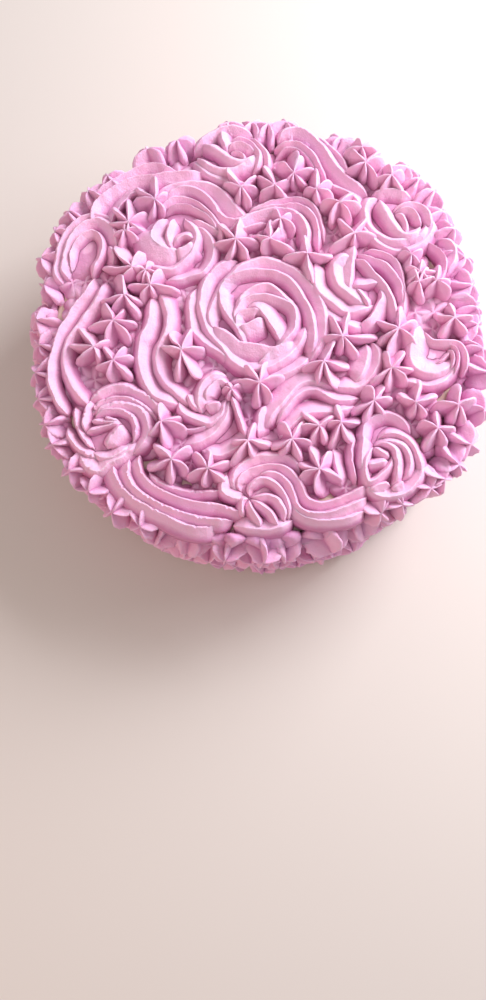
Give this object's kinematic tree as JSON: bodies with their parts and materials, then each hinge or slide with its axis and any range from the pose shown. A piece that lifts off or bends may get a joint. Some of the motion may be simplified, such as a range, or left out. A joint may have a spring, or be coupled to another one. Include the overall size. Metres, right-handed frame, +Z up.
{
  "type": "piped cream celebration cake",
  "caption": "Round uncut layer cake with an ivory coat, covered on top and round the side in piped pink cream: swirls, ridged ribbons and small stars.",
  "frame": {"origin": "middle of the cake's flat underside", "axes": "+Z up, from the underside to the piped top; -Y is the front, the side nearest the picture's camera"},
  "size_m": [0.22, 0.22, 0.0748],
  "materials": {
    "cream": "whipped cream, semi-matte",
    "side_cream": "whipped cream, semi-matte",
    "coat": "smoothed cream, matte"
  },
  "bodies": {
    "root": {"coated_cake": "coat", "ribbon_back_left": "cream", "ribbon_back_right": "cream", "ribbon_front_left": "cream", "ribbon_front_right": "cream", "ribbon_hook": "cream", "ribbon_inner_left": "cream", "ribbon_left": "cream", "ribbon_rim": "cream", "ribbon_stub": "cream", "ribbon_wave": "cream", "side_stars_high": "side_cream", "side_stars_low": "side_cream", "side_stars_middle": "side_cream", "star_back_1": "cream", "star_back_2": "cream", "star_back_3": "cream", "star_back_4": "cream", "star_back_5": "cream", "star_back_6": "cream", "star_back_left_1": "cream", "star_back_left_2": "cream", "star_back_left_3": "cream", "star_back_left_4": "cream", "star_front_1": "cream", "star_front_2": "cream", "star_front_3": "cream", "star_front_4": "cream", "star_front_5": "cream", "star_front_left_1": "cream", "star_front_left_2": "cream", "star_front_left_3": "cream", "star_left_1": "cream", "star_left_2": "cream", "star_left_3": "cream", "star_left_4": "cream", "star_middle_1": "cream", "star_middle_2": "cream", "star_middle_3": "cream", "star_middle_4": "cream", "star_middle_5": "cream", "star_middle_6": "cream", "star_middle_7": "cream", "star_right_1": "cream", "star_right_2": "cream", "star_right_3": "cream", "star_right_4": "cream", "star_right_5": "cream", "star_right_6": "cream", "swirl_back": "cream", "swirl_back_left": "cream", "swirl_back_right": "cream", "swirl_centre": "cream", "swirl_front": "cream", "swirl_front_left": "cream", "swirl_front_right": "cream", "swirl_left_arch": "cream", "swirl_pressed": "cream", "swirl_right": "cream", "swirl_right_rim": "cream"}
  },
  "joints": []
}
